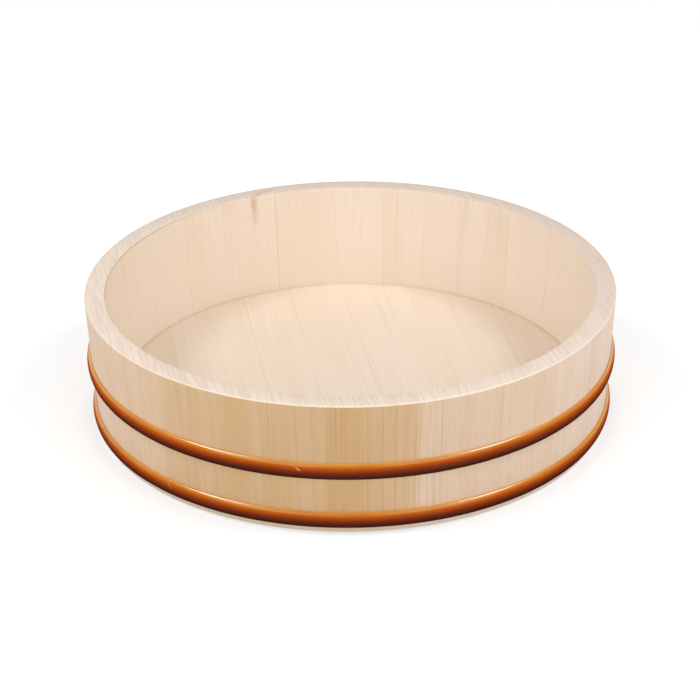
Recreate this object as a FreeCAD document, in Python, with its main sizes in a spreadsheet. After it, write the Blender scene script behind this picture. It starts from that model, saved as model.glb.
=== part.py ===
import FreeCAD, Part
import os
import Sketcher

# Rice tub: a low round tub of tapered wooden staves, held by two plastic hoops,
# with a boarded floor that sits in a groove (the croze) near the foot.
# Millimetres and degrees. The tub opens upwards, its front faces -Y, and the
# origin is the centre of the ring that the staves stand on.

# Widths of the staves round the outside of the rim, from the first joint onwards,
# seen from above. They are cut from boards of uneven width, and a cooper closes
# the ring with whatever the last ones need, so each takes its share of the circle.
STAVE_WIDTHS = [
    46, 39, 39, 27, 39, 42, 37, 40, 43, 43, 49, 43, 43,
    29, 32, 35, 46, 43, 35, 40, 40, 40, 43, 40, 40, 41,
]

# Widths of the floor boards across the disc, likewise as shares of its diameter.
BOARD_WIDTHS = [44, 57, 55, 55, 50, 41]

SIZES = {
    # The wall: it widens from foot to rim and is a little thicker at the foot.
    "rim_radius": 165.0,
    "foot_radius": 160.8,
    "tub_height": 84.0,
    "rim_wall": 12.8,
    "foot_wall": 14.6,
    "rim_easing": 1.1,
    "foot_easing": 1.0,
    "first_joint_angle": -34.6,
    # The floor: its edge is a tongue as thick as the croze is high.
    "floor_height": 14.0,
    "floor_thickness": 10.0,
    "tongue_thickness": 6.5,
    "tongue_bevel": 7.0,
    "croze_depth": 3.8,
    "croze_clearance": 0.05,
    "bevel_clearance": 0.5,
    "grain_angle": 9.0,
    # The hoops: D-shaped in section, with their flat side on the wall.
    "lower_hoop_lift": 3.3,
    "lower_hoop_width": 10.4,
    "upper_hoop_lift": 36.0,
    "upper_hoop_width": 10.5,
    "hoop_shoulder_rise": 2.2,
    "hoop_shoulder_run": 1.5,
    "hoop_crown": 2.9,
    "hoop_clearance": 0.03,
    # The bamboo dowels: one in each joint of the wall, three in each of the floor.
    # Each is shaved to six faces and driven into soft wood that takes its shape.
    "dowel_diameter": 3.4,
    "dowel_clearance": 0.02,
    "dowel_end_gap": 0.3,
    "stave_dowel_length": 16.0,
    "stave_dowel_drop": 42.0,
    "floor_dowel_length": 24.0,
    "floor_dowel_spread": 0.6,
}

doc = FreeCAD.newDocument("rice_tub")


def width_names(piece, widths):
    """Names of the cells that hold the widths of a row of pieces."""
    return [f"{piece}_{number:02d}_width" for number in range(1, len(widths) + 1)]


STAVES = width_names("stave", STAVE_WIDTHS)
BOARDS = width_names("floor_board", BOARD_WIDTHS)


def fill_sheet():
    """Every driving size in one spreadsheet, one row each, under its own alias."""
    sheet = doc.addObject("Spreadsheet::Sheet", "Sizes")
    cells = dict(SIZES)
    cells.update(zip(STAVES, STAVE_WIDTHS))
    cells.update(zip(BOARDS, BOARD_WIDTHS))
    for row, (name, value) in enumerate(cells.items(), start=1):
        sheet.set(f"A{row}", name)
        sheet.set(f"B{row}", str(value))
        sheet.setAlias(f"B{row}", name)
    doc.recompute()
    return sheet


# Expressions that the pieces share. Each is text for setExpression.

def size(name):
    return f"Sizes.{name}"


def total(names):
    return "(" + " + ".join(size(name) for name in names) + ")" if names else "0"


def outer_radius(height):
    """Outside of the wall at a height above the foot."""
    flare = "(Sizes.rim_radius - Sizes.foot_radius)"
    return f"(Sizes.foot_radius + {flare} * {height} / Sizes.tub_height)"


def inner_radius(height):
    """Inside of the wall at a height above the foot."""
    foot = "(Sizes.foot_radius - Sizes.foot_wall)"
    rim = "(Sizes.rim_radius - Sizes.rim_wall)"
    return f"({foot} + ({rim} - {foot}) * {height} / Sizes.tub_height)"


def mid_radius(height):
    """Middle of the wall's thickness at a height above the foot."""
    return f"(({inner_radius(height)} + {outer_radius(height)}) / 2)"


def joint_angle(count):
    """Turn of the joint after so many staves, with the front at zero."""
    return f"(Sizes.first_joint_angle + 360 * {total(STAVES[:count])} / {total(STAVES)})"


def stave_angle(index):
    return f"(360 * {size(STAVES[index])} / {total(STAVES)})"


def seam_place(count):
    """Distance of a floor seam from the centre, across the boards."""
    return f"({FLOOR_RADIUS} * (2 * {total(BOARDS[:count])} / {total(BOARDS)} - 1))"


def turned(angle):
    """Placement turned about the tub's axis."""
    return f"placement(vector(0; 0; 0); rotation(vector(0; 0; 1); {angle}))"


FRONT = "-90"
TONGUE_FOOT = "(Sizes.floor_height - Sizes.tongue_thickness)"
FLOOR_FOOT = "(Sizes.floor_height - Sizes.floor_thickness)"
CROZE_RADIUS = f"({inner_radius('Sizes.floor_height')} + Sizes.croze_depth)"
FLOOR_RADIUS = f"({CROZE_RADIUS} - Sizes.croze_clearance)"
BEVEL_RADIUS = f"({inner_radius(TONGUE_FOOT)} - Sizes.bevel_clearance)"
DOWEL_HEIGHT = "(Sizes.tub_height - Sizes.stave_dowel_drop)"
DOWEL_RADIUS = "(Sizes.dowel_diameter / 2)"
HOLE_RADIUS = "(Sizes.dowel_diameter / 2 + Sizes.dowel_clearance)"
DOWEL_FACES = 6


# Helpers for sketches and features.

def new_body(label):
    body = doc.addObject("PartDesign::Body", label)
    body.Label = label
    return body


def new_sketch(body, name, plane_role):
    """Sketch on one of its body's own origin planes."""
    sketch = body.newObject("Sketcher::SketchObject", name)
    planes = [item for item in body.Origin.OriginFeatures if item.Role == plane_role]
    sketch.AttachmentSupport = [(planes[0], "")]
    sketch.MapMode = "FlatFace"
    return sketch


def value_of(sketch, expression):
    return float(sketch.evalExpression(expression))


def bind_point(sketch, geometry, point, across, up):
    """Hold a sketch point at two expressions, measured from the sketch's origin."""
    for kind, expression in (("DistanceX", across), ("DistanceY", up)):
        start = value_of(sketch, expression)
        rule = Sketcher.Constraint(kind, -1, 1, geometry, point, start)
        number = sketch.addConstraint(rule)
        sketch.setExpression(f"Constraints[{number}]", expression)


def bind_radius(sketch, geometry, expression):
    rule = Sketcher.Constraint("Radius", geometry, value_of(sketch, expression))
    number = sketch.addConstraint(rule)
    sketch.setExpression(f"Constraints[{number}]", expression)


def draw_outline(sketch, corners):
    """Closed outline of straight lines through corners given as expressions."""
    first = sketch.GeometryCount
    points = [
        FreeCAD.Vector(value_of(sketch, across), value_of(sketch, up), 0)
        for across, up in corners
    ]
    following = points[1:] + points[:1]
    for start, end in zip(points, following):
        sketch.addGeometry(Part.LineSegment(start, end), False)
    for index, (across, up) in enumerate(corners):
        line = first + index
        next_line = first + (index + 1) % len(corners)
        sketch.addConstraint(Sketcher.Constraint("Coincident", line, 2, next_line, 1))
        bind_point(sketch, line, 1, across, up)


def revolve(body, name, sketch, angle):
    """Turn a sketch about the tub's axis, anticlockwise seen from above."""
    solid = body.newObject("PartDesign::Revolution", name)
    solid.Profile = sketch
    solid.ReferenceAxis = (sketch, ["V_Axis"])
    solid.setExpression("Angle", angle)
    doc.recompute()
    return solid


def pocket_both_ways(body, name, sketch, length=None):
    """Pocket to both sides of its sketch, right through where no length is given."""
    volume = body.Shape.Volume
    pocket = body.newObject("PartDesign::Pocket", name)
    pocket.Profile = sketch
    pocket.SideType = "Symmetric"
    if length:
        pocket.setExpression("Length", length)
    else:
        pocket.Type = "ThroughAll"
    doc.recompute()
    if not pocket.Shape.Volume < volume:
        raise RuntimeError(f"{body.Label}: {name} cuts nothing")
    return pocket


def edges_at(feature, height):
    """Names of the round edges that lie at one height."""
    names = []
    for number, edge in enumerate(feature.Shape.Edges, start=1):
        level = all(abs(vertex.Z - height) < 1e-6 for vertex in edge.Vertexes)
        if level and isinstance(edge.Curve, Part.Circle):
            names.append(f"Edge{number}")
    return names


def ease_edges(body, name, base, edges, width):
    """Take the sharpness off some edges of a feature."""
    chamfer = body.newObject("PartDesign::Chamfer", name)
    chamfer.Base = (base, edges)
    chamfer.setExpression("Size", width)
    doc.recompute()
    return chamfer


def draw_dowel_hole(sketch, across, up, first_corner):
    """Six-sided hole round a point, with one corner at a given angle."""
    corners = []
    for number in range(DOWEL_FACES):
        angle = f"{first_corner + number * 360 / DOWEL_FACES} deg"
        corner_across = f"({across} + {HOLE_RADIUS} * cos({angle}))"
        corner_up = f"({up} + {HOLE_RADIUS} * sin({angle}))"
        corners.append((corner_across, corner_up))
    draw_outline(sketch, corners)


def bamboo_pin(label, length, placement):
    pin = doc.addObject("Part::Prism", label)
    pin.Polygon = DOWEL_FACES
    pin.setExpression("Circumradius", DOWEL_RADIUS)
    pin.setExpression("Height", length)
    pin.setExpression("Placement", placement)
    return pin


def group_pins(label, pins):
    """One named piece from pins that stay separate solids."""
    group = doc.addObject("Part::Compound", label)
    group.Label = label
    group.Links = pins
    return group


# Staves: each one is turned about the tub's axis by its own share of the circle,
# so that its two sides are radial planes that meet its neighbours' face to face.

STAVE_OUTLINE = [
    (outer_radius("0"), "0"),
    (outer_radius(size("tub_height")), size("tub_height")),
    (inner_radius(size("tub_height")), size("tub_height")),
    (inner_radius(size("floor_height")), size("floor_height")),
    (CROZE_RADIUS, size("floor_height")),
    (CROZE_RADIUS, TONGUE_FOOT),
    (inner_radius(TONGUE_FOOT), TONGUE_FOOT),
    (inner_radius("0"), "0"),
]


def drill_joint(body, name, angle):
    """Dowel hole in the joint face that lies at an angle within a stave."""
    sketch = new_sketch(body, f"{name}_outline", "XZ_Plane")
    turn = f"placement(vector(0; 0; 0); rotation(vector(0; 1; 0); {angle}))"
    sketch.setExpression("AttachmentOffset", turn)
    doc.recompute()
    draw_dowel_hole(sketch, mid_radius(DOWEL_HEIGHT), DOWEL_HEIGHT, 0)
    pocket_both_ways(body, name, sketch, "Sizes.stave_dowel_length + 2 * Sizes.dowel_end_gap")


def make_stave(index):
    label = f"stave_{index + 1:02d}"
    body = new_body(label)
    body.setExpression("Placement", turned(f"{joint_angle(index)} + {FRONT}"))
    sketch = new_sketch(body, f"{label}_section", "XZ_Plane")
    draw_outline(sketch, STAVE_OUTLINE)
    blank = revolve(body, f"{label}_blank", sketch, stave_angle(index))
    rim_edges = edges_at(blank, value_of(sketch, size("tub_height")))
    eased = ease_edges(body, f"{label}_rim", blank, rim_edges, "Sizes.rim_easing")
    foot_edges = edges_at(eased, 0)
    outer_foot = max(foot_edges, key=lambda name: eased.Shape.getElement(name).Curve.Radius)
    ease_edges(body, f"{label}_foot", eased, [outer_foot], "Sizes.foot_easing")
    drill_joint(body, f"{label}_first_hole", "0")
    drill_joint(body, f"{label}_last_hole", stave_angle(index))
    return body


def make_stave_dowels():
    """Dowels across the joints of the wall, square to each joint's plane."""
    pins = []
    end = f"vector({mid_radius(DOWEL_HEIGHT)}; Sizes.stave_dowel_length / 2; {DOWEL_HEIGHT})"
    laid = f"placement({end}; rotation(vector(1; 0; 0); 90))"
    for index in range(len(STAVES)):
        placement = turned(f"{joint_angle(index)} + {FRONT}") + f" * {laid}"
        label = f"stave_dowel_{index + 1:02d}"
        pins.append(bamboo_pin(label, "Sizes.stave_dowel_length", placement))
    return group_pins("stave_dowels", pins)


# Floor boards: one turned disc with a tongue round its edge, sawn along its seams.
# Its underside is bevelled inside the foot of the wall.

DISC_OUTLINE = [
    ("0", FLOOR_FOOT),
    (f"({BEVEL_RADIUS} - Sizes.tongue_bevel)", FLOOR_FOOT),
    (BEVEL_RADIUS, TONGUE_FOOT),
    (FLOOR_RADIUS, TONGUE_FOOT),
    (FLOOR_RADIUS, size("floor_height")),
    ("0", size("floor_height")),
]


def floor_pin_spots(seam):
    """Places of the dowels along a floor seam, as shares of the seam's length."""
    half = f"sqrt({FLOOR_RADIUS} ^ 2 - {seam} ^ 2)"
    return [f"{share} * Sizes.floor_dowel_spread * {half}" for share in ("-1", "0", "1")]


def bore_seam(body, name, seam):
    """Dowel holes along a seam, each half in this board and half in the next."""
    sketch = new_sketch(body, f"{name}_outlines", "YZ_Plane")
    offset = f"placement(vector(0; 0; {seam}); rotation(vector(0; 0; 1); 0))"
    sketch.setExpression("AttachmentOffset", offset)
    doc.recompute()
    middle = "(Sizes.floor_height - Sizes.tongue_thickness / 2)"
    for spot in floor_pin_spots(seam):
        draw_dowel_hole(sketch, spot, middle, 90)
    pocket_both_ways(body, name, sketch, "Sizes.floor_dowel_length + 2 * Sizes.dowel_end_gap")


def make_floor_board(index):
    label = f"floor_board_{index + 1}"
    body = new_body(label)
    body.setExpression("Placement", turned("Sizes.grain_angle"))
    section = new_sketch(body, f"{label}_section", "XZ_Plane")
    draw_outline(section, DISC_OUTLINE)
    revolve(body, f"{label}_disc", section, "360")

    # What the saw takes away on each side of this board.
    waste = new_sketch(body, f"{label}_waste", "XY_Plane")
    reach = f"(2 * {FLOOR_RADIUS})"
    sides = []
    if index > 0:
        sides.append((f"(-1 * {reach})", seam_place(index)))
    if index < len(BOARDS) - 1:
        sides.append((seam_place(index + 1), reach))
    for left, right in sides:
        corners = [
            (left, f"(-1 * {reach})"),
            (right, f"(-1 * {reach})"),
            (right, reach),
            (left, reach),
        ]
        draw_outline(waste, corners)
    pocket_both_ways(body, f"{label}_sawn", waste)

    if index > 0:
        bore_seam(body, f"{label}_left_holes", seam_place(index))
    if index < len(BOARDS) - 1:
        bore_seam(body, f"{label}_right_holes", seam_place(index + 1))
    return body


def make_floor_dowels():
    """Dowels across the floor's seams."""
    pins = []
    for count in range(1, len(BOARDS)):
        seam = seam_place(count)
        for number, spot in enumerate(floor_pin_spots(seam), start=1):
            start = f"{seam} - Sizes.floor_dowel_length / 2"
            middle = "Sizes.floor_height - Sizes.tongue_thickness / 2"
            end = f"vector({start}; {spot}; {middle})"
            laid = f"placement({end}; rotation(vector(0; 1; 0); 90))"
            placement = turned("Sizes.grain_angle") + f" * {laid}"
            label = f"floor_dowel_{count}_{number}"
            pins.append(bamboo_pin(label, "Sizes.floor_dowel_length", placement))
    return group_pins("floor_dowels", pins)


# Hoops: a closed plastic ring whose flat side follows the flare of the wall. Outside
# it has two steep shoulders with a shallow crown between them.

def make_hoop(name):
    lift = size(f"{name}_lift")
    top = f"({lift} + {size(name + '_width')})"
    low_shoulder = f"({lift} + Sizes.hoop_shoulder_run)"
    high_shoulder = f"({top} - Sizes.hoop_shoulder_run)"
    seat = "Sizes.hoop_clearance"
    face = "(Sizes.hoop_clearance + Sizes.hoop_shoulder_rise)"
    corners = [
        (f"({outer_radius(low_shoulder)} + {face})", low_shoulder),
        (f"({outer_radius(lift)} + {seat})", lift),
        (f"({outer_radius(top)} + {seat})", top),
        (f"({outer_radius(high_shoulder)} + {face})", high_shoulder),
    ]
    bulge = "(Sizes.hoop_crown - Sizes.hoop_shoulder_rise)"
    rise = f"({high_shoulder} - {low_shoulder})"
    chord = f"sqrt({rise} ^ 2 + ({corners[3][0]} - {corners[0][0]}) ^ 2)"
    crown_radius = f"(({chord} ^ 2 / 4 + {bulge} ^ 2) / (2 * {bulge}))"

    body = new_body(name)
    sketch = new_sketch(body, f"{name}_section", "XZ_Plane")
    points = [
        FreeCAD.Vector(value_of(sketch, across), value_of(sketch, up), 0)
        for across, up in corners
    ]
    crown = (points[0] + points[3]) / 2 + FreeCAD.Vector(value_of(sketch, bulge), 0, 0)
    for start, end in zip(points, points[1:]):
        sketch.addGeometry(Part.LineSegment(start, end), False)
    sketch.addGeometry(Part.Arc(points[0], crown, points[3]), False)
    for line in (0, 1):
        sketch.addConstraint(Sketcher.Constraint("Coincident", line, 2, line + 1, 1))
    for line, (across, up) in enumerate(corners[:3]):
        bind_point(sketch, line, 1, across, up)
    bind_point(sketch, 2, 2, *corners[3])
    sketch.addConstraint(Sketcher.Constraint("Coincident", 3, 1, 0, 1))
    sketch.addConstraint(Sketcher.Constraint("Coincident", 3, 2, 2, 2))
    bind_radius(sketch, 3, crown_radius)
    revolve(body, f"{name}_ring", sketch, "360")
    return body


def check_document():
    """Stop if any object failed to build."""
    for item in doc.Objects:
        if "Invalid" in item.State or "Error" in item.State:
            raise RuntimeError(f"{item.Label} did not build: {item.State}")


def export_piece(piece, solids):
    """Write one piece, after a look at its solids, to its own file."""
    shape = piece.Shape
    if shape.isNull() or not shape.isValid() or len(shape.Solids) != solids:
        raise RuntimeError(f"{piece.Label} is not {solids} sound solid(s)")
    shape.exportStep(f"parts/{piece.Label}.step")


fill_sheet()
pieces = [(make_stave(index), 1) for index in range(len(STAVES))]
pieces += [(make_floor_board(index), 1) for index in range(len(BOARDS))]
pieces += [(make_hoop(name), 1) for name in ("lower_hoop", "upper_hoop")]
stave_dowels = make_stave_dowels()
floor_dowels = make_floor_dowels()
doc.recompute()
pieces += [(group, len(group.Links)) for group in (stave_dowels, floor_dowels)]
check_document()
os.makedirs("parts", exist_ok=True)
for piece, solids in pieces:
    export_piece(piece, solids)
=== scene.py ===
import math

import bmesh
import bpy
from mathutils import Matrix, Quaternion, Vector


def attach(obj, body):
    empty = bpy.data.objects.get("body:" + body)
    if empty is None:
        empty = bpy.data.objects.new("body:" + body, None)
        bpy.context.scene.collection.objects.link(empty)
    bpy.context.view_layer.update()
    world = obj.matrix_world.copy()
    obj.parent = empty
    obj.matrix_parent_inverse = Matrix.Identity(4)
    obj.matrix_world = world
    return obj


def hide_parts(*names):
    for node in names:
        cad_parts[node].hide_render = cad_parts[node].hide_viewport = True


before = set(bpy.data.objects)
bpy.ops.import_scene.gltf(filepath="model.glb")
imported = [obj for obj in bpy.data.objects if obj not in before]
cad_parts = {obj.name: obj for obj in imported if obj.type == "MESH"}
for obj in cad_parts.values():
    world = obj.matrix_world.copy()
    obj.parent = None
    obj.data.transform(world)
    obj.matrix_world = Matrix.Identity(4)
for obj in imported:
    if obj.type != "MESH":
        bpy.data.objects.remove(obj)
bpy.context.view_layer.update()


# The camera: it stands in front of the tub and looks down into it, from eight rim
# radii away, leaning by less than a degree as the photographer's did. Sizes are in
# metres, here and all through the file.

CAMERA_PLACE = Vector((-0.00061, -1.19793, 0.64008))
CAMERA_AIM = Vector((-0.00061, 0.0, 0.03587))
CAMERA_LEAN = math.radians(-0.739)

bpy.ops.object.select_all(action="DESELECT")
bpy.ops.object.camera_add(location=CAMERA_PLACE)
camera = bpy.context.object
camera.name = "photo_camera"
camera.data.lens = 108.906
camera.data.sensor_width = 36.0
camera.data.clip_end = 40.0
camera.rotation_mode = "QUATERNION"
look = (CAMERA_AIM - CAMERA_PLACE).to_track_quat("-Z", "Y")
camera.rotation_quaternion = look @ Quaternion((0, 0, 1), CAMERA_LEAN)
bpy.context.scene.camera = camera
bpy.context.scene.view_settings.view_transform = "Standard"


# The studio: a pale room with a dim ceiling, a soft lamp high up on each side of the
# tub, which gives the hoops their bright upper edges, and two wide screens in front.

ROOM_LIGHT = 0.43
CEILING_LIGHT = 0.15
# How steep a view is, from 0 level to 1 straight up, where the room's walls end and
# where its ceiling begins.
WALLS_END = 0.2
CEILING_START = 0.45
LAMP_SIZE = (0.6, 0.6)
SCREEN_SIZE = (1.8, 1.4)


def add_node(tree, kind, inputs=None, **settings):
    """A shader node, with its inputs set to values or joined to other nodes' sockets."""
    made = tree.nodes.new(kind)
    for name, value in settings.items():
        setattr(made, name, value)
    for name, value in (inputs or {}).items():
        if isinstance(value, bpy.types.NodeSocket):
            tree.links.new(value, made.inputs[name])
        else:
            made.inputs[name].default_value = value
    return made


def calculate(tree, operation, first, second=0.5, third=0.5):
    """The result of one Math node."""
    values = {0: first, 1: second, 2: third}
    return add_node(tree, "ShaderNodeMath", values, operation=operation).outputs[0]


def ramp_up(tree, value, low, high, start=0.0, end=1.0):
    """A smooth step of a value, from start at low to end at high."""
    sockets = {"Value": value, "From Min": low, "From Max": high, "To Min": start, "To Max": end}
    made = add_node(tree, "ShaderNodeMapRange", sockets, interpolation_type="SMOOTHSTEP")
    return made.outputs["Result"]


def seen_directly(tree):
    """One for what the camera, a mirror or glass sees, and nought for light that only bounces."""
    path = add_node(tree, "ShaderNodeLightPath")
    mirrored = calculate(tree, "MAXIMUM", path.outputs["Is Glossy Ray"],
                         path.outputs["Is Transmission Ray"])
    return calculate(tree, "MAXIMUM", path.outputs["Is Camera Ray"], mirrored)


def add_lamp(name, place, size, power):
    """A large flat lamp that faces the tub."""
    bpy.ops.object.light_add(type="AREA", location=place)
    lamp = bpy.context.object
    lamp.name = name
    lamp.data.shape = "RECTANGLE"
    lamp.data.size, lamp.data.size_y = size
    lamp.data.energy = power
    lamp.rotation_mode = "QUATERNION"
    lamp.rotation_quaternion = (CAMERA_AIM - Vector(place)).to_track_quat("-Z", "Y")


room = bpy.data.worlds.new("pale_room")
bpy.context.scene.world = room
room.use_nodes = True
room.node_tree.nodes.clear()
lit_room = add_node(room.node_tree, "ShaderNodeBackground",
                    {"Color": (1.0, 1.0, 1.0, 1.0), "Strength": ROOM_LIGHT})
direction = add_node(room.node_tree, "ShaderNodeTexCoord").outputs["Generated"]
steepness = add_node(room.node_tree, "ShaderNodeSeparateXYZ", {0: direction}).outputs["Z"]
white_room = add_node(room.node_tree, "ShaderNodeBackground", {
    "Color": (1.0, 1.0, 1.0, 1.0),
    "Strength": ramp_up(room.node_tree, steepness, WALLS_END, CEILING_START, 1.0, CEILING_LIGHT)})
either_room = add_node(room.node_tree, "ShaderNodeMixShader", {
    0: seen_directly(room.node_tree), 1: lit_room.outputs[0], 2: white_room.outputs[0]})
add_node(room.node_tree, "ShaderNodeOutputWorld", {"Surface": either_room.outputs[0]})

add_lamp("left_lamp", (-1.2, -0.2, 1.65), LAMP_SIZE, 11.4)
add_lamp("right_lamp", (1.2, -0.2, 1.65), LAMP_SIZE, 11.9)
add_lamp("left_screen", (-1.3, -1.75, 1.05), SCREEN_SIZE, 14.3)
add_lamp("right_screen", (1.3, -1.75, 1.05), SCREEN_SIZE, 13.6)


# The floor: one wide pale sheet that the tub stands on. It shows as white and keeps
# the tub's soft shadow, and it can be looked through from below.

FLOOR_WIDTH = 12.0
FLOOR_DROP = 0.0002
FLOOR_GREY = 0.7
FLOOR_GLOW = 0.42
# Distances from the tub between which the glow grows, so that the horizon is white.
GLOW_START = 0.8
GLOW_END = 3.0

bpy.ops.mesh.primitive_plane_add(size=FLOOR_WIDTH, location=(0, 0, -FLOOR_DROP))
studio_floor = bpy.context.object
studio_floor.name = "studio_floor"
paper = bpy.data.materials.new("floor_paper")
paper.use_nodes = True
tree = paper.node_tree
tree.nodes.clear()
matt = add_node(tree, "ShaderNodeBsdfDiffuse",
                {"Color": (FLOOR_GREY, FLOOR_GREY, FLOOR_GREY, 1.0)})
sheet_place = add_node(tree, "ShaderNodeTexCoord").outputs["Object"]
from_tub = add_node(tree, "ShaderNodeVectorMath", {0: sheet_place}, operation="LENGTH")
far_glow = ramp_up(tree, from_tub.outputs["Value"], GLOW_START, GLOW_END, FLOOR_GLOW, 1.0)
glow_strength = calculate(tree, "MULTIPLY", seen_directly(tree), far_glow)
glow = add_node(tree, "ShaderNodeEmission", {"Strength": glow_strength})
sheet_seen = add_node(tree, "ShaderNodeAddShader", {0: matt.outputs[0], 1: glow.outputs[0]})
clear = add_node(tree, "ShaderNodeBsdfTransparent")
camera_side = add_node(tree, "ShaderNodeLightPath").outputs["Is Camera Ray"]
from_below = calculate(tree, "MULTIPLY", camera_side,
                       add_node(tree, "ShaderNodeNewGeometry").outputs["Backfacing"])
either = add_node(tree, "ShaderNodeMixShader",
                  {0: from_below, 1: sheet_seen.outputs[0], 2: clear.outputs[0]})
add_node(tree, "ShaderNodeOutputMaterial", {"Surface": either.outputs[0]})
studio_floor.data.materials.append(paper)


# The staves: 26 planks of pale straight-grained wood, split from boards of uneven
# width, planed to the tub's taper and pinned side to side. A groove inside, the
# croze, takes the floor, and both rim edges and the outer foot edge are eased.

RIM_RADIUS = 0.165
FOOT_RADIUS = 0.1608
TUB_HEIGHT = 0.084
RIM_WALL = 0.0128
FOOT_WALL = 0.0146
RIM_EASING = 0.0012
FOOT_EASING = 0.001
JOINT_EASING = 0.00009
CROZE_FOOT = 0.0075
CROZE_TOP = 0.014
CROZE_RADIUS = 0.151
STAVE_STEPS = 8
STAVE_COUNT = 26
PIN_HOLE_RADIUS = 0.00172
PIN_HOLE_LENGTH = 0.0166
PIN_HEIGHT = 0.042
# Points nearer to each other than this count as one.
HAIR = 1e-5

# How tan each stave is, from 0, pale and pinkish, to 1, and how deep its rings show.
STAVE_TANS = [
    0.84, 0.9, 0.93, 0.52, 0.38, 0.25, 0.08, 0.05, 0.05, 0.08, 0.12, 0.1, 0.06,
    0.02, 0.08, 0.04, 0.1, 0.06, 0.12, 0.08, 0.15, 0.2, 0.2, 0.25, 0.38, 0.57,
]
STAVE_RINGS = [
    0.34, 0.45, 0.95, 0.7, 0.3, 0.18, 0.14, 0.14, 0.16, 0.16, 0.14, 0.16, 0.35,
    0.18, 0.32, 0.16, 0.3, 0.16, 0.16, 0.14, 0.16, 0.16, 0.2, 0.18, 0.2, 0.24,
]
# How dark a stave's first joint is drawn, and the joints that show darker than the rest.
PLAIN_JOINT = 0.08
DARK_JOINTS = {3: 0.25, 4: 0.5, 12: 0.2, 14: 0.2, 18: 0.45}
# Staves that turn more tan, or less, from their first joint to the next.
STAVE_FADES = {2: -0.08, 3: -0.24, 4: -0.42, 13: -0.2, 15: 0.2, 19: 0.2, 25: 0.1, 26: 0.2}
# Degrees by which the rings lean from square to the wall.
STAVE_LEANS = [
    18, 8, -4, 3, 28, 40, 34, -30, 22, 36, -26, 30, 24,
    -20, 12, 26, -34, 30, 20, -28, 32, -38, 35, 30, -36, 27,
]


def choose_parts(wanted, kind="VERT"):
    """Select, in edit mode, the points, edges or faces that wanted says yes to."""
    bpy.ops.mesh.select_mode(type=kind)
    bpy.ops.mesh.select_all(action="DESELECT")
    shape = bmesh.from_edit_mesh(bpy.context.object.data)
    parts = {"VERT": shape.verts, "EDGE": shape.edges, "FACE": shape.faces}[kind]
    for part in parts:
        part.select_set(wanted(part))
    shape.select_flush_mode()
    bmesh.update_edit_mesh(bpy.context.object.data)


def select_only(piece):
    """Make one piece the only one selected, and the active one."""
    bpy.ops.object.select_all(action="DESELECT")
    piece.select_set(True)
    bpy.context.view_layer.objects.active = piece


def take_up(piece):
    """Open one piece for editing, with all of it selected."""
    select_only(piece)
    bpy.ops.object.mode_set(mode="EDIT")
    bpy.ops.mesh.select_all(action="SELECT")


def put_down(angle=35.0):
    """Leave edit mode, with doubles merged, faces outwards and round parts smooth."""
    bpy.ops.mesh.select_all(action="SELECT")
    bpy.ops.mesh.remove_doubles(threshold=1e-6)
    bpy.ops.mesh.normals_make_consistent(inside=False)
    bpy.ops.object.mode_set(mode="OBJECT")
    bpy.ops.object.shade_smooth_by_angle(angle=math.radians(angle))


def copy_piece(piece, name):
    """A copy with its own mesh."""
    select_only(piece)
    bpy.ops.object.duplicate(linked=False)
    bpy.context.object.name = name
    return bpy.context.object


def cut_with(piece, cutter):
    """Take a cutter's shape out of a piece."""
    select_only(piece)
    cut = piece.modifiers.new("holes", "BOOLEAN")
    cut.operation = "DIFFERENCE"
    cut.solver = "EXACT"
    cut.object = cutter
    bpy.ops.object.modifier_apply(modifier=cut.name)


def radius_of(point):
    """Distance of a point from the tub's axis."""
    return math.hypot(point.co.x, point.co.y)


def joint_turns(node):
    """Angle of a stave's first joint about the tub's axis, and the angle that it spans."""
    places = [vertex.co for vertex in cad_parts[node].data.vertices]
    middle = math.atan2(sum(place.y for place in places), sum(place.x for place in places))
    turns = []
    for place in places:
        turn = math.atan2(place.y, place.x) - middle
        turns.append((turn + math.pi) % (2 * math.pi) - math.pi)
    return middle + min(turns), max(turns) - min(turns)


def draw_stave_section():
    """The section of the wall as one face that stands on the X axis."""
    bpy.ops.mesh.primitive_plane_add(size=1.0)
    section = bpy.context.object
    section.name = "stave_section"
    take_up(section)
    bpy.ops.transform.rotate(value=math.pi / 2, orient_axis="X", center_override=(0, 0, 0))
    bpy.ops.transform.resize(value=(RIM_WALL, 1.0, TUB_HEIGHT), center_override=(0, 0, 0))
    middle = RIM_RADIUS - RIM_WALL / 2
    bpy.ops.transform.translate(value=(middle, 0, TUB_HEIGHT / 2))
    choose_parts(lambda point: point.co.z < HAIR and point.co.x > middle)
    bpy.ops.transform.translate(value=(FOOT_RADIUS - RIM_RADIUS, 0, 0))
    choose_parts(lambda point: point.co.z < HAIR and point.co.x < middle)
    inner_flare = (RIM_RADIUS - RIM_WALL) - (FOOT_RADIUS - FOOT_WALL)
    bpy.ops.transform.translate(value=(-inner_flare, 0, 0))
    cuts = [((0, 0, CROZE_FOOT), (0, 0, 1)), ((0, 0, CROZE_TOP), (0, 0, 1)),
            ((CROZE_RADIUS, 0, 0), (1, 0, 0))]
    for place, direction in cuts:
        bpy.ops.mesh.select_all(action="SELECT")
        bpy.ops.mesh.bisect(plane_co=place, plane_no=direction)

    def in_croze(face):
        place = face.calc_center_median()
        return place.x < CROZE_RADIUS and CROZE_FOOT < place.z < CROZE_TOP

    choose_parts(in_croze, "FACE")
    bpy.ops.mesh.delete(type="FACE")
    bpy.ops.mesh.select_all(action="SELECT")
    bpy.ops.mesh.dissolve_limited(angle_limit=math.radians(0.5))
    bpy.ops.object.mode_set(mode="OBJECT")
    return section


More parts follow.
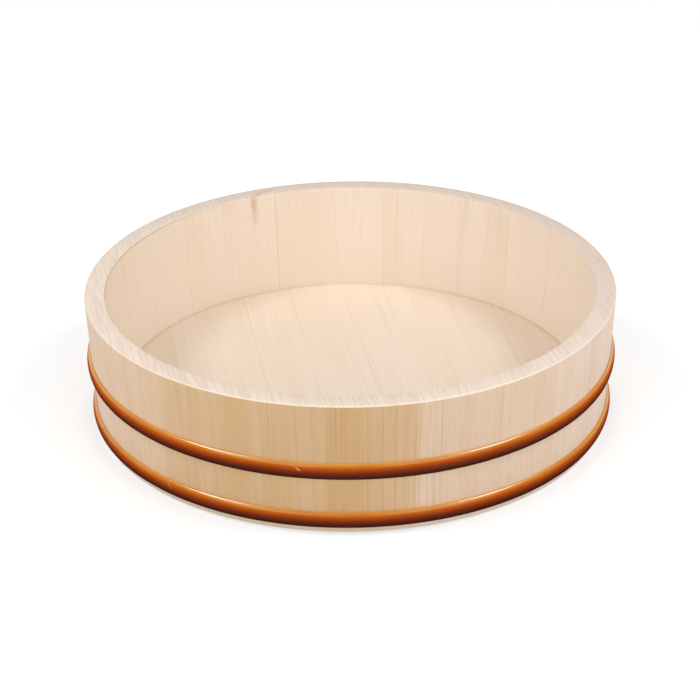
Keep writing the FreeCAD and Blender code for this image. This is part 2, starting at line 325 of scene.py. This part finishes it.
def make_rods(places, length):
    """Six-sided rods, each at a point and turned about Z, to cut holes for bamboo pins."""
    bpy.ops.object.select_all(action="DESELECT")
    rods = []
    for place, turn in places:
        bpy.ops.mesh.primitive_cylinder_add(
            vertices=6, radius=PIN_HOLE_RADIUS, depth=length,
            location=place, rotation=(math.pi / 2, 0, turn))
        rods.append(bpy.context.object)
    for rod in rods:
        rod.select_set(True)
    bpy.ops.object.join()
    bpy.ops.object.transform_apply()
    return bpy.context.object


def on_rim_edge(edge):
    """Whether an edge runs round the rim, inside or outside."""
    first, second = edge.verts
    level = min(first.co.z, second.co.z) > TUB_HEIGHT - HAIR
    return level and abs(radius_of(first) - radius_of(second)) < HAIR


def on_foot_edge(edge):
    """Whether an edge runs round the outside of the foot."""
    first, second = edge.verts
    level = max(first.co.z, second.co.z) < HAIR
    return level and min(radius_of(first), radius_of(second)) > FOOT_RADIUS - FOOT_EASING / 2


def on_joint_edge(edge):
    """Whether an edge bounds a side that meets another stave, a face of many corners."""
    return any(len(face.verts) > 4 for face in edge.link_faces)


def saw_stave(section, name, start, span):
    """One stave: the section turned through the stave's own share of the circle."""
    stave = copy_piece(section, name)
    take_up(stave)
    bpy.ops.mesh.spin(steps=STAVE_STEPS, angle=-span, center=(0, 0, 0), axis=(0, 0, 1))
    bpy.ops.mesh.select_all(action="SELECT")
    bpy.ops.transform.rotate(value=-start, orient_axis="Z", center_override=(0, 0, 0))
    bpy.ops.mesh.normals_make_consistent(inside=False)
    choose_parts(on_rim_edge, "EDGE")
    bpy.ops.mesh.bevel(offset=RIM_EASING, segments=3, affect="EDGES")
    choose_parts(on_foot_edge, "EDGE")
    bpy.ops.mesh.bevel(offset=FOOT_EASING, segments=2, affect="EDGES")
    choose_parts(on_joint_edge, "EDGE")
    bpy.ops.mesh.bevel(offset=JOINT_EASING, segments=1, affect="EDGES")
    put_down()
    return stave


def mark_plank(piece, **values):
    """Write numbers that the wood's finish reads, the same all over one plank."""
    for name, value in values.items():
        note = piece.data.attributes.new(name, "FLOAT", "FACE")
        note.data.foreach_set("value", [value] * len(piece.data.polygons))


def screen(red, green, blue):
    """A colour as the eye reads it off a screen, from 0 to 255, as shader values."""
    shares = [value / 255 for value in (red, green, blue)]
    return tuple(share / 12.92 if share <= 0.04045 else ((share + 0.055) / 1.055) ** 2.4
                 for share in shares) + (1.0,)


def vector_of(tree, operation, first, second=(0, 0, 0)):
    """The result of one Vector Math node, a number for a length or a dot product."""
    made = add_node(tree, "ShaderNodeVectorMath", {0: first, 1: second}, operation=operation)
    return made.outputs["Value" if operation in ("LENGTH", "DOT_PRODUCT") else "Vector"]


def blend_colours(tree, share, first, second):
    """Two colours mixed by a share from 0 to 1."""
    return add_node(tree, "ShaderNodeMix", {0: share, 6: first, 7: second},
                    data_type="RGBA").outputs[2]


def noise_of(tree, place, stretch, seed, detail=2.0):
    """Noise whose grains are one over the stretch long each way."""
    stretched = vector_of(tree, "MULTIPLY", place, stretch)
    sockets = {"Vector": stretched, "W": seed, "Scale": 1.0, "Detail": detail}
    return add_node(tree, "ShaderNodeTexNoise", sockets, noise_dimensions="4D").outputs[0]


def centred(tree, value, reach):
    """A noise value turned into one that swings about nought."""
    return calculate(tree, "MULTIPLY_ADD", value, 2 * reach, -reach)


def make_grain():
    """Straight grain in a plank that lies through X, across Y and along Z."""
    group = bpy.data.node_groups.new("straight_grain", "ShaderNodeTree")
    for name, kind in (("Place", "NodeSocketVector"), ("Lean", "NodeSocketFloat"),
                       ("Seed", "NodeSocketFloat")):
        group.interface.new_socket(name, in_out="INPUT", socket_type=kind)
    for name in ("Rings", "Fibre", "Cloud"):
        group.interface.new_socket(name, in_out="OUTPUT", socket_type="NodeSocketFloat")
    given = add_node(group, "NodeGroupInput").outputs
    place, lean, seed = given["Place"], given["Lean"], given["Seed"]

    # The heart of the tree lies far off to one side, in the direction of the lean. The
    # rings sway along the plank, and lie closer in some years than in others.
    heart_distance = 0.32
    ring_spacing = 0.00165
    sway_reach = 0.003
    spacing_reach = 0.005
    years_scale = 110.0
    heart = add_node(group, "ShaderNodeCombineXYZ", {
        0: calculate(group, "MULTIPLY", calculate(group, "SINE", lean), heart_distance),
        1: calculate(group, "MULTIPLY", calculate(group, "COSINE", lean), heart_distance)})
    apart = vector_of(group, "SUBTRACT", place, heart.outputs[0])
    level = vector_of(group, "MULTIPLY", apart, (1, 1, 0))
    distance = vector_of(group, "LENGTH", level)
    sway = centred(group, noise_of(group, place, (18, 18, 4), seed, 1.0), sway_reach)
    swayed = calculate(group, "ADD", distance, sway)
    uneven = add_node(group, "ShaderNodeTexNoise", {
        "W": calculate(group, "MULTIPLY_ADD", swayed, years_scale, seed), "Scale": 1.0,
        "Detail": 2.0}, noise_dimensions="1D").outputs[0]
    spaced = calculate(group, "ADD", swayed, centred(group, uneven, spacing_reach))
    rings = calculate(group, "DIVIDE", spaced, ring_spacing)
    number = calculate(group, "FLOOR", rings)
    share = calculate(group, "FRACT", rings)
    own_depth = add_node(group, "ShaderNodeTexWhiteNoise", {
        "W": calculate(group, "ADD", number, calculate(group, "MULTIPLY", seed, 13.7))},
        noise_dimensions="1D").outputs["Value"]

    # Each ring darkens slowly through a summer and ends sharply. Some are faint all
    # along, and the others are worn away in places.
    rising = ramp_up(group, share, 0.3, 0.85)
    falling = ramp_up(group, share, 0.86, 1.0, 1.0, 0.0)
    line = calculate(group, "MULTIPLY", rising, falling)
    depth = calculate(group, "MULTIPLY_ADD", calculate(group, "POWER", own_depth, 2.0), 0.85, 0.15)
    dimmed = ramp_up(group, noise_of(group, place, (140, 140, 14), seed, 2.0), 0.35, 0.65, 0.3, 1.0)
    add_node(group, "NodeGroupOutput", {
        "Rings": calculate(group, "MULTIPLY", calculate(group, "MULTIPLY", line, depth), dimmed),
        "Fibre": noise_of(group, place, (900, 900, 16), seed, 3.0),
        "Cloud": noise_of(group, place, (35, 35, 6), seed, 2.0)})
    return group


def new_finish(name):
    """A material with its shader, and its tree."""
    finish = bpy.data.materials.new(name)
    finish.use_nodes = True
    finish.node_tree.nodes.clear()
    shader = add_node(finish.node_tree, "ShaderNodeBsdfPrincipled")
    add_node(finish.node_tree, "ShaderNodeOutputMaterial", {"Surface": shader.outputs[0]})
    return finish, finish.node_tree, shader


def note_value(tree, name):
    """A number that was written on the mesh under a name."""
    return add_node(tree, "ShaderNodeAttribute", attribute_name=name).outputs["Fac"]


def raise_surface(tree, shader, height, strength, distance):
    """Let a height show as relief."""
    sockets = {"Height": height, "Strength": strength, "Distance": distance}
    bump = add_node(tree, "ShaderNodeBump", sockets)
    tree.links.new(bump.outputs[0], shader.inputs["Normal"])


# From the palest wood to the most tan.
WOOD_TONES = [(0.0, (243, 220, 202)), (0.4, (232, 203, 173)), (1.0, (214, 176, 126))]
PALE_WOOD = screen(236, 225, 209)
RING_WOOD = screen(190, 148, 104)
CUT_WOOD = screen(241, 224, 210)
SHADED_CUT_WOOD = screen(221, 205, 190)
SCRATCHED_WOOD = screen(205, 186, 172)
PAINTED_LIGHT_WOOD = screen(250, 238, 224)
JOINT_WOOD = screen(172, 132, 96)
KNOT_WOOD = screen(200, 148, 94)
WOOD_ROUGHNESS = 0.5
# A fade has run its whole way this far from a stave's middle, in radians.
FADE_REACH = 0.035
# How much of the pale tone is painted on the inside low down, and how much near the rim: painted
# light.
INSIDE_LIGHT_LOW = 0.72
INSIDE_LIGHT_HIGH = 0.46
# Painted shade: how much darker the outside is painted towards the rim.
UPPER_SHADE = 0.13
BELT_TURN = math.radians(-13.0)
BELT_SCRATCHES = 0.45
# Marks in the wood: middle, turn in degrees, half length each way, and how dark.
WOOD_MARKS = [
    # A pin knot that runs down the inside of the back wall from the rim.
    ((-0.0651, 0.1372, 0.0805), 25.0, (0.0034, 0.004, 0.0085), 0.46),
    ((-0.0640, 0.1371, 0.0715), 25.0, (0.0034, 0.004, 0.0125), 0.26),
    # The brown streak that goes on from the knot across the rim.
    ((-0.0620, 0.1425, 0.084), -24.8, (0.003, 0.0064, 0.004), 0.45),
    ((-0.0560, 0.1490, 0.084), -60.9, (0.0025, 0.0076, 0.004), 0.4),
    # A scratch across the rim on the right.
    ((0.1562, 0.0232, 0.084), -29.1, (0.0008, 0.0085, 0.003), 0.35),
    # A faint spot on the front.
    ((0.0747, -0.1466, 0.071), 27.0, (0.003, 0.004, 0.0024), 0.16),
]

straight_grain = make_grain()


def add_ramp(tree, share, stops):
    """Colours given for the eye at their places along a share from 0 to 1."""
    made = add_node(tree, "ShaderNodeValToRGB", {0: share})
    band = made.color_ramp
    while len(band.elements) < len(stops):
        band.elements.new(0.5)
    for element, (position, value) in zip(band.elements, stops):
        element.position = position
        element.color = screen(*value)
    return made.outputs[0]


def add_wood_colour(tree, shader, grain, tan, ring_depth):
    """Give a shader the roughness and relief of planed wood, and return the wood's colour."""
    tan_share = calculate(tree, "ADD", tan, centred(tree, grain["Cloud"], 0.35))
    body = add_ramp(tree, tan_share, WOOD_TONES)
    faint = calculate(tree, "MULTIPLY", grain["Rings"], ring_depth)
    ringed = blend_colours(tree, faint, body, RING_WOOD)
    streaks = ramp_up(tree, grain["Fibre"], 0.45, 0.8, 0.0, 0.2)
    rough = calculate(tree, "MULTIPLY_ADD", grain["Fibre"], 0.2, WOOD_ROUGHNESS)
    tree.links.new(rough, shader.inputs["Roughness"])
    relief = calculate(tree, "SUBTRACT", grain["Fibre"], grain["Rings"])
    raise_surface(tree, shader, relief, 0.25, 0.0001)
    shader.inputs["Specular IOR Level"].default_value = 0.3
    return blend_colours(tree, streaks, ringed, RING_WOOD)


# Each stave is turned back to the X axis, so that its grain is drawn along the plank.
stave_wood, tree, shader = new_finish("planed_stave_wood")
coordinates = add_node(tree, "ShaderNodeTexCoord").outputs
plank_place = add_node(tree, "ShaderNodeVectorRotate", {
    "Vector": coordinates["Object"],
    "Angle": calculate(tree, "MULTIPLY", note_value(tree, "plank_turn"), -1.0)},
    rotation_type="Z_AXIS").outputs[0]
centre_place = vector_of(tree, "SUBTRACT", plank_place, (RIM_RADIUS, 0, 0))
grain = add_node(tree, "ShaderNodeGroup", {
    "Place": centre_place, "Lean": note_value(tree, "plank_lean"),
    "Seed": note_value(tree, "plank_seed")}, node_tree=straight_grain).outputs
plank_parts = add_node(tree, "ShaderNodeSeparateXYZ", {0: plank_place}).outputs
bearing = calculate(tree, "ARCTAN2", plank_parts["Y"], plank_parts["X"])
sideways = ramp_up(tree, bearing, -FADE_REACH, FADE_REACH, -0.5, 0.5)
tan = calculate(tree, "MULTIPLY_ADD", note_value(tree, "plank_fade"), sideways,
                note_value(tree, "plank_tan"))
planed = add_wood_colour(tree, shader, grain, tan, note_value(tree, "plank_rings"))

# The inside of the wall is painted paler than the outside, most of all low down: painted light
# where the bowl shades its own lower wall.
facing = coordinates["Normal"]
level_place = vector_of(tree, "MULTIPLY", coordinates["Object"], (1, 1, 0))
outwards = vector_of(tree, "DOT_PRODUCT", facing, vector_of(tree, "NORMALIZE", level_place))
paleness = ramp_up(tree, plank_parts["Z"], 0.014, 0.075, INSIDE_LIGHT_LOW, INSIDE_LIGHT_HIGH)
on_inside = ramp_up(tree, outwards, -0.5, -0.1, 1.0, 0.0)
# Painted light: a paler tone on the inside, strongest low down.
inside_light_share = calculate(tree, "MULTIPLY", on_inside, paleness)
paled_wood = blend_colours(tree, inside_light_share, planed, PALE_WOOD)

# The outside is painted a little darker towards the rim: painted shade.
on_outside = ramp_up(tree, outwards, 0.1, 0.5)
high_up = ramp_up(tree, plank_parts["Z"], 0.02, 0.06, 0.0, UPPER_SHADE)
upper_shade_share = calculate(tree, "MULTIPLY", high_up, on_outside)
upper_shaded = blend_colours(tree, upper_shade_share, paled_wood, JOINT_WOOD)

# A fine dark line shows where one stave meets the next.
to_joint = calculate(tree, "ADD", bearing, note_value(tree, "plank_half"))
joint_share = calculate(tree, "MULTIPLY", ramp_up(tree, to_joint, 0.0012, 0.0034, 1.0, 0.0),
                        note_value(tree, "plank_joint"))
jointed = blend_colours(tree, joint_share, upper_shaded, JOINT_WOOD)

# The rim was sanded level with a belt, which left fine scratches. Its end grain is
# painted greyer at the back and right, a painted shade; its edges, eased by hand, are
# painted paler, the outer one most, a painted highlight; and a thin darker line runs along its
# inner edge, mostly on the left.
facing_up = add_node(tree, "ShaderNodeSeparateXYZ", {0: facing}).outputs["Z"]
# Painted shade: the end grain is greyer towards the back and right.
back_right = vector_of(tree, "DOT_PRODUCT", level_place, (0.45, 0.9, 0))
shaded_end_wood = blend_colours(tree, ramp_up(tree, back_right, -0.1, 0.13), CUT_WOOD, SHADED_CUT_WOOD)
belt_way = add_node(tree, "ShaderNodeVectorRotate", {
    "Vector": coordinates["Object"], "Angle": BELT_TURN}, rotation_type="Z_AXIS").outputs[0]
scratches = noise_of(tree, belt_way, (1050, 40, 40), 6.0, 2.0)
sanded = blend_colours(tree, ramp_up(tree, scratches, 0.38, 0.62, 0.0, BELT_SCRATCHES),
                       shaded_end_wood, SCRATCHED_WOOD)
cut = blend_colours(tree, ramp_up(tree, facing_up, 0.3, 0.95, 0.0, 0.85), jointed, sanded)
# Painted highlight: the rounded rim edges are painted paler, the outer one most.
edge_light_band = calculate(tree, "MULTIPLY", ramp_up(tree, facing_up, 0.2, 0.5),
                       ramp_up(tree, facing_up, 0.8, 0.97, 1.0, 0.0))
edge_light_share = calculate(tree, "MULTIPLY", edge_light_band,
                        ramp_up(tree, outwards, -0.2, 0.2, 0.12, 0.6))
edge_lit = blend_colours(tree, edge_light_share, cut, PAINTED_LIGHT_WOOD)
# A thin darker line along the rim's inner edge, mostly on the left.
inner_edge_band = calculate(tree, "MULTIPLY", ramp_up(tree, facing_up, 0.3, 0.5),
                      ramp_up(tree, facing_up, 0.6, 0.8, 1.0, 0.0))
inner_edge_inside = calculate(tree, "MULTIPLY", inner_edge_band,
                        ramp_up(tree, outwards, -0.2, 0.0, 1.0, 0.0))
rightwards = add_node(tree, "ShaderNodeSeparateXYZ", {0: level_place}).outputs["X"]
inner_line_share = calculate(tree, "MULTIPLY", inner_edge_inside,
                       ramp_up(tree, rightwards, -0.145, -0.06, 0.75, 0.1))
dimmed = blend_colours(tree, inner_line_share, edge_lit, JOINT_WOOD)

# The foot is painted paler too: painted light where the lower hoop and the floor shade it.
low_down = ramp_up(tree, plank_parts["Z"], 0.002, 0.0045, 0.5, 0.0)
foot_light_share = calculate(tree, "MULTIPLY", low_down, on_outside)
coloured = blend_colours(tree, foot_light_share, dimmed, PAINTED_LIGHT_WOOD)

for centre, turn, size, share in WOOD_MARKS:
    inside = add_node(tree, "ShaderNodeMapping", {
        "Vector": coordinates["Object"], "Location": centre,
        "Rotation": (0.0, 0.0, math.radians(turn)), "Scale": size},
        vector_type="TEXTURE").outputs[0]
    mark = ramp_up(tree, vector_of(tree, "LENGTH", inside), 0.2, 1.0, share, 0.0)
    coloured = blend_colours(tree, mark, coloured, KNOT_WOOD)
tree.links.new(coloured, shader.inputs["Base Color"])

joints = [joint_turns(f"stave_{number:02d}") for number in range(1, STAVE_COUNT + 1)]
foot_middle = FOOT_RADIUS - FOOT_WALL / 2
rim_middle = RIM_RADIUS - RIM_WALL / 2
pin_circle = foot_middle + (rim_middle - foot_middle) * PIN_HEIGHT / TUB_HEIGHT
pin_places = [((pin_circle * math.cos(start), pin_circle * math.sin(start), PIN_HEIGHT), start)
              for start, span in joints]
wall_rods = make_rods(pin_places, PIN_HOLE_LENGTH)
stave_section = draw_stave_section()
for number, (start, span) in enumerate(joints, start=1):
    stave = saw_stave(stave_section, f"planed_stave_{number:02d}", start, span)
    cut_with(stave, wall_rods)
    mark_plank(stave, plank_turn=start + span / 2, plank_half=span / 2,
               plank_seed=number * 3.17, plank_tan=STAVE_TANS[number - 1],
               plank_rings=STAVE_RINGS[number - 1],
               plank_lean=math.radians(STAVE_LEANS[number - 1]),
               plank_joint=DARK_JOINTS.get(number, PLAIN_JOINT),
               plank_fade=STAVE_FADES.get(number, 0.0))
    stave.data.materials.append(stave_wood)
    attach(stave, "root")
    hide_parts(f"stave_{number:02d}")
bpy.data.objects.remove(stave_section)
bpy.data.objects.remove(wall_rods)


# The floor boards: six boards of the same wood, pinned edge to edge, turned to one
# disc and thinned to a tongue that sits in the croze. Their underside is bevelled.

BOARD_COUNT = 6
FLOOR_RADIUS = 0.15095
FLOOR_TOP = 0.014
TONGUE_FOOT = 0.0075
FLOOR_FOOT = 0.004
BEVEL_RADIUS = 0.14624
FLAT_RADIUS = 0.13924
GRAIN_TURN = math.radians(9.0)
SEAM_EASING = 0.00012
FLOOR_PIN_LENGTH = 0.0246
FLOOR_PIN_SPREAD = 0.6
FLOOR_PIN_HEIGHT = 0.01075
BOARD_TANS = [0.3, 0.15, 0.2, 0.1, 0.2, 0.3]
BOARD_RINGS = 0.42
BOARD_LEANS = [24, 12, 32, -27, 16, -20]
BOARD_WASH = 0.52
# A board's edge nearer than this to the disc's own edge is no seam.
EDGE_MARGIN = 0.001
# Where the painted shade along the floor's edge begins and ends, and how dark it is.
CORNER_SHADE_START = 0.1425
CORNER_SHADE_END = 0.1475
CORNER_SHADE_SHARE = 0.26

across_boards = Vector((math.cos(GRAIN_TURN), math.sin(GRAIN_TURN), 0))
along_boards = Vector((-math.sin(GRAIN_TURN), math.cos(GRAIN_TURN), 0))


def seam_offsets(node):
    """How far a board's two long edges lie from the middle of the floor."""
    offsets = [vertex.co.dot(across_boards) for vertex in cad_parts[node].data.vertices]
    return min(offsets), max(offsets)


def turn_disc():
    """The floor as one disc, before it is parted along its seams."""
    depth = FLOOR_TOP - TONGUE_FOOT
    bpy.ops.mesh.primitive_cylinder_add(
        vertices=192, radius=FLOOR_RADIUS, depth=depth, location=(0, 0, TONGUE_FOOT + depth / 2))
    disc = bpy.context.object
    disc.name = "floor_disc"
    bpy.ops.object.transform_apply()
    take_up(disc)
    choose_parts(lambda face: face.normal.z < -0.9, "FACE")
    bpy.ops.mesh.inset(thickness=FLOOR_RADIUS - BEVEL_RADIUS)
    bpy.ops.mesh.extrude_region_move(
        TRANSFORM_OT_translate={"value": (0, 0, FLOOR_FOOT - TONGUE_FOOT)})
    narrower = FLAT_RADIUS / BEVEL_RADIUS
    bpy.ops.transform.resize(value=(narrower, narrower, 1.0), center_override=(0, 0, 0))
    put_down()
    return disc


def saw_board(disc, name, left, right):
    """One board: what lies between two seams of the disc."""
    board = copy_piece(disc, name)
    take_up(board)
    if left > -FLOOR_RADIUS + EDGE_MARGIN:
        bpy.ops.mesh.bisect(plane_co=across_boards * left, plane_no=across_boards,
                            clear_inner=True, use_fill=True)
    bpy.ops.mesh.select_all(action="SELECT")
    if right < FLOOR_RADIUS - EDGE_MARGIN:
        bpy.ops.mesh.bisect(plane_co=across_boards * right, plane_no=across_boards,
                            clear_outer=True, use_fill=True)

    def on_seam(edge):
        first, second = (point.co for point in edge.verts)
        on_top = min(first.z, second.z) > FLOOR_TOP - HAIR
        return on_top and any(
            abs(first.dot(across_boards) - seam) + abs(second.dot(across_boards) - seam) < HAIR
            for seam in (left, right) if abs(seam) < FLOOR_RADIUS - EDGE_MARGIN)

    choose_parts(on_seam, "EDGE")
    bpy.ops.mesh.bevel(offset=SEAM_EASING, segments=1, affect="EDGES")
    put_down()
    return board


# The disc is turned square to its boards, so that the grain runs along each of them.
floor_wood, tree, shader = new_finish("planed_floor_wood")
spot = add_node(tree, "ShaderNodeTexCoord").outputs["Object"]
squared = add_node(tree, "ShaderNodeVectorRotate", {"Vector": spot, "Angle": -GRAIN_TURN},
                   rotation_type="Z_AXIS").outputs[0]
parts = add_node(tree, "ShaderNodeSeparateXYZ", {0: squared}).outputs
board_place = add_node(tree, "ShaderNodeCombineXYZ", {
    0: parts["Z"], 1: calculate(tree, "SUBTRACT", parts["X"], note_value(tree, "plank_middle")),
    2: parts["Y"]}).outputs[0]
grain = add_node(tree, "ShaderNodeGroup", {
    "Place": board_place, "Lean": note_value(tree, "plank_lean"),
    "Seed": note_value(tree, "plank_seed")}, node_tree=straight_grain).outputs
planed = add_wood_colour(tree, shader, grain, note_value(tree, "plank_tan"),
                         note_value(tree, "plank_rings"))

# The floor is painted darker where it meets the wall: painted shade in the corner.
level = vector_of(tree, "MULTIPLY", spot, (1, 1, 0))
from_axis = vector_of(tree, "LENGTH", level)
corner_shade = ramp_up(tree, from_axis, CORNER_SHADE_START, CORNER_SHADE_END, 0.0, CORNER_SHADE_SHARE)
paled_wood = blend_colours(tree, BOARD_WASH, planed, PALE_WOOD)
tree.links.new(blend_colours(tree, corner_shade, paled_wood, JOINT_WOOD), shader.inputs["Base Color"])

floor_disc = turn_disc()
board_sides = [seam_offsets(f"floor_board_{number}") for number in range(1, BOARD_COUNT + 1)]
seam_pins = []
for left, right in board_sides[1:]:
    half = math.sqrt(FLOOR_RADIUS ** 2 - left ** 2)
    for share in (-FLOOR_PIN_SPREAD, 0.0, FLOOR_PIN_SPREAD):
        place = across_boards * left + along_boards * (share * half)
        place.z = FLOOR_PIN_HEIGHT
        seam_pins.append((place, GRAIN_TURN + math.pi / 2))
floor_rods = make_rods(seam_pins, FLOOR_PIN_LENGTH)
for number, (left, right) in enumerate(board_sides, start=1):
    board = saw_board(floor_disc, f"planed_floor_board_{number}", left, right)
    cut_with(board, floor_rods)
    mark_plank(board, plank_middle=(left + right) / 2, plank_seed=100 + number * 5.3,
               plank_tan=BOARD_TANS[number - 1], plank_rings=BOARD_RINGS,
               plank_lean=math.radians(BOARD_LEANS[number - 1]))
    board.data.materials.append(floor_wood)
    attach(board, "root")
    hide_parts(f"floor_board_{number}")
bpy.data.objects.remove(floor_disc)
bpy.data.objects.remove(floor_rods)


# The hoops: two rings of amber plastic strip with a round outside, welded to a loop
# and pressed on from below, so that they grip the flare of the wall.

HOOP_LIFTS = {"lower_hoop": 0.0033, "upper_hoop": 0.036}
HOOP_WIDTHS = {"lower_hoop": 0.0104, "upper_hoop": 0.0105}
HOOP_PROUD = 0.0029
HOOP_CLEARANCE = 0.00003
HOOP_STEPS = 256
OVAL_POINTS = 40
WELD_TURNS = {"lower_hoop": -40.0, "upper_hoop": -9.9}
# How strong each weld's painted glint is.
WELD_GLINT = {"lower_hoop": 0.4, "upper_hoop": 1.0}
WELD_HALF_WIDTH = 0.0006
WELD_HEIGHT = 0.00016
# The weld runs down to the right, this far sideways for each step down.
WELD_SLANT = 1.3
# How far the weld reaches to each side, and how far outside the foot's radius it begins.
WELD_REACH = 0.012
WELD_DEPTH = 0.002


def draw_hoop(name):
    """One hoop: half an oval, leaning as the wall does, turned about the tub's axis."""
    width = HOOP_WIDTHS[name]
    middle = HOOP_LIFTS[name] + width / 2
    flare = (RIM_RADIUS - FOOT_RADIUS) / TUB_HEIGHT
    bpy.ops.mesh.primitive_circle_add(vertices=OVAL_POINTS, radius=1.0, fill_type="NGON",
                                      rotation=(math.pi / 2, 0, 0))
    hoop = bpy.context.object
    hoop.name = f"smooth_{name}"
    bpy.ops.object.transform_apply()
    take_up(hoop)
    bpy.ops.transform.resize(value=(HOOP_PROUD, 1.0, width / 2), center_override=(0, 0, 0))
    bpy.ops.mesh.bisect(plane_co=(0, 0, 0), plane_no=(1, 0, 0), clear_inner=True, use_fill=False)
    bpy.ops.mesh.select_all(action="SELECT")
    bpy.ops.transform.rotate(value=-math.atan(flare), orient_axis="Y", center_override=(0, 0, 0))
    seat = FOOT_RADIUS + flare * middle + HOOP_CLEARANCE
    bpy.ops.transform.translate(value=(seat, 0, middle))
    bpy.ops.mesh.delete(type="ONLY_FACE")
    bpy.ops.mesh.select_all(action="SELECT")
    bpy.ops.mesh.spin(steps=HOOP_STEPS, angle=2 * math.pi, center=(0, 0, 0), axis=(0, 0, 1))
    bpy.ops.mesh.select_all(action="SELECT")
    bpy.ops.mesh.remove_doubles(threshold=1e-6)
    bpy.ops.mesh.normals_make_consistent(inside=False)
    return hoop, middle, width


def weld_hoop(name, middle, width):
    """Raise the slanting bead where the strip's two ends were melted together."""
    turn = math.radians(WELD_TURNS[name])
    outward = Vector((math.sin(turn), -math.cos(turn), 0))
    sideways = Vector((math.cos(turn), math.sin(turn), 0))
    spot = outward * FOOT_RADIUS + Vector((0, 0, middle))
    across_bead = (sideways + Vector((0, 0, WELD_SLANT))).normalized()
    for shift in (-WELD_HALF_WIDTH, 0.0, WELD_HALF_WIDTH):
        choose_parts(lambda face: (face.calc_center_median() - outward * RIM_RADIUS).xy.length
                     < WELD_REACH, "FACE")
        bpy.ops.mesh.bisect(plane_co=spot + across_bead * shift, plane_no=across_bead)

    def on_bead(point):
        from_spot = point.co - spot
        return (abs(from_spot.dot(across_bead)) < HAIR
                and from_spot.dot(outward) > WELD_DEPTH
                and abs(from_spot.dot(sideways)) < WELD_REACH)

    choose_parts(on_bead)
    bpy.ops.transform.translate(value=outward * WELD_HEIGHT)
    bpy.ops.mesh.select_mode(type="VERT")
    put_down(40.0)
    piece = bpy.context.object
    heights = piece.data.attributes.new("hoop_height", "FLOAT", "POINT")
    heights.data.foreach_set("value", [
        (vertex.co.z - middle) / width + 0.5 for vertex in piece.data.vertices])
    beads = piece.data.attributes.new("hoop_bead_glint", "FLOAT", "POINT")
    beads.data.foreach_set("value", [
        WELD_GLINT[name] * on_bead(vertex) for vertex in piece.data.vertices])


# Round the strip from its underside, at 0, to its upper edge, at 1. The amber is painted dark
# towards the underside, a painted shade, and pale yellow at the upper edge, a painted highlight.
AMBER_PAINTED_LIGHT_TONES = [
    (0.0, (82, 34, 20)), (0.2, (72, 33, 23)), (0.38, (95, 42, 27)), (0.55, (134, 53, 25)),
    (0.75, (179, 82, 20)), (0.9, (207, 120, 28)), (1.0, (222, 158, 66)),
]
WELD_GLINT_AMBER = screen(250, 200, 140)

hoop_plastic, tree, shader = new_finish("amber_hoop_plastic")
height = note_value(tree, "hoop_height")
mottle = noise_of(tree, add_node(tree, "ShaderNodeTexCoord").outputs["Object"],
                  (60, 60, 220), 4.0, 3.0)
shifted = calculate(tree, "ADD", height, centred(tree, mottle, 0.05))
# Painted shade below and painted highlight above, by the strip's height.
amber = add_ramp(tree, shifted, AMBER_PAINTED_LIGHT_TONES)
# Painted glint: the weld bead is painted pale on the strip's upper part.
bead = calculate(tree, "MULTIPLY", note_value(tree, "hoop_bead_glint"),
                 calculate(tree, "MULTIPLY", ramp_up(tree, height, 0.56, 0.66, 0.0, 0.8),
                           ramp_up(tree, height, 0.78, 0.88, 1.0, 0.0)))
glinted = blend_colours(tree, bead, amber, WELD_GLINT_AMBER)
tree.links.new(glinted, shader.inputs["Base Color"])
tree.links.new(ramp_up(tree, mottle, 0.2, 0.8, 0.2, 0.3), shader.inputs["Roughness"])
raise_surface(tree, shader, mottle, 0.15, 0.0002)

# The strip's upper edge is glossy where the lamps catch it, and the rest is matt.
tree.links.new(ramp_up(tree, height, 0.82, 0.95, 0.0, 1.0), shader.inputs["Coat Weight"])
shader.inputs["Coat Roughness"].default_value = 0.18
shader.inputs["Coat IOR"].default_value = 1.9
shader.inputs["Specular IOR Level"].default_value = 0.0

for hoop_name in HOOP_LIFTS:
    hoop, hoop_middle, hoop_width = draw_hoop(hoop_name)
    weld_hoop(hoop_name, hoop_middle, hoop_width)
    hoop.data.materials.append(hoop_plastic)
    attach(hoop, "root")
    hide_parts(hoop_name)


# The bamboo pins: shaved rods hidden in the joints of the wall and the floor. They are
# the CAD solids themselves, with the colour and fine fibres of split bamboo.

PALE_BAMBOO = screen(214, 188, 130)
DARK_BAMBOO = screen(176, 142, 88)

bamboo, tree, shader = new_finish("split_bamboo")
spot = add_node(tree, "ShaderNodeTexCoord").outputs["Object"]
fibre = noise_of(tree, spot, (600, 600, 600), 2.0, 3.0)
pin_colour = blend_colours(tree, ramp_up(tree, fibre, 0.3, 0.7), PALE_BAMBOO, DARK_BAMBOO)
tree.links.new(pin_colour, shader.inputs["Base Color"])
tree.links.new(ramp_up(tree, fibre, 0.3, 0.7, 0.45, 0.6), shader.inputs["Roughness"])
raise_surface(tree, shader, fibre, 0.2, 0.0001)
for pins in ("stave_dowels", "floor_dowels"):
    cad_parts[pins].data.materials.clear()
    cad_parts[pins].data.materials.append(bamboo)
